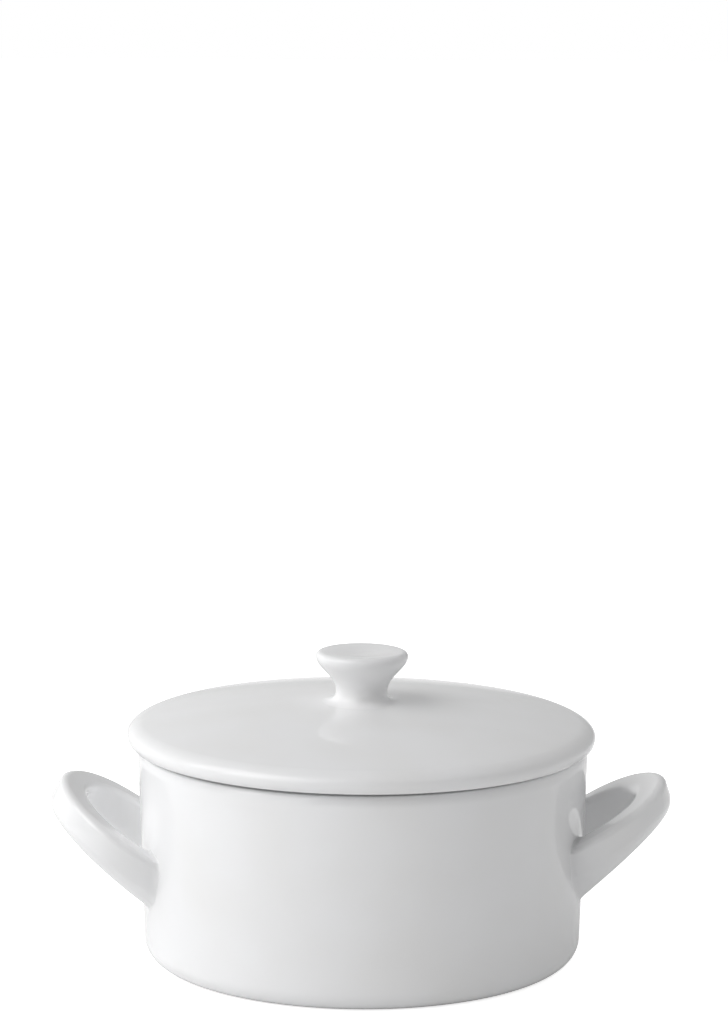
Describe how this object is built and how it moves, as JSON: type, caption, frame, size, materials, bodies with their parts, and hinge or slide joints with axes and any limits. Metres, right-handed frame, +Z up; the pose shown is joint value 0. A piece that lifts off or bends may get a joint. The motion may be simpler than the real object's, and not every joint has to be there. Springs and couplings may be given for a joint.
{
  "type": "mini casserole dish",
  "caption": "Small round glazed ceramic casserole with straight sides, loop handles that rise outwards, and an overhanging domed lid with a flared knob.",
  "frame": {"origin": "on the surface that the dish stands on, on the axis of the pot", "axes": "+X through the right handle, +Y to the back, +Z up along the axis of the pot"},
  "size_m": [0.151, 0.1142, 0.0758],
  "materials": {
    "white_glaze": "glossy"
  },
  "bodies": {
    "dish": {"dish_bowl": "white_glaze", "left_handle": "white_glaze", "right_handle": "white_glaze"},
    "lid": {"lid_plate": "white_glaze", "lid_knob": "white_glaze"}
  },
  "joints": [
    {"name": "lid_lift", "type": "slide", "parent": "dish", "child": "lid", "axis": [0, 0, 1], "range_m": [0, 0.1]}
  ]
}
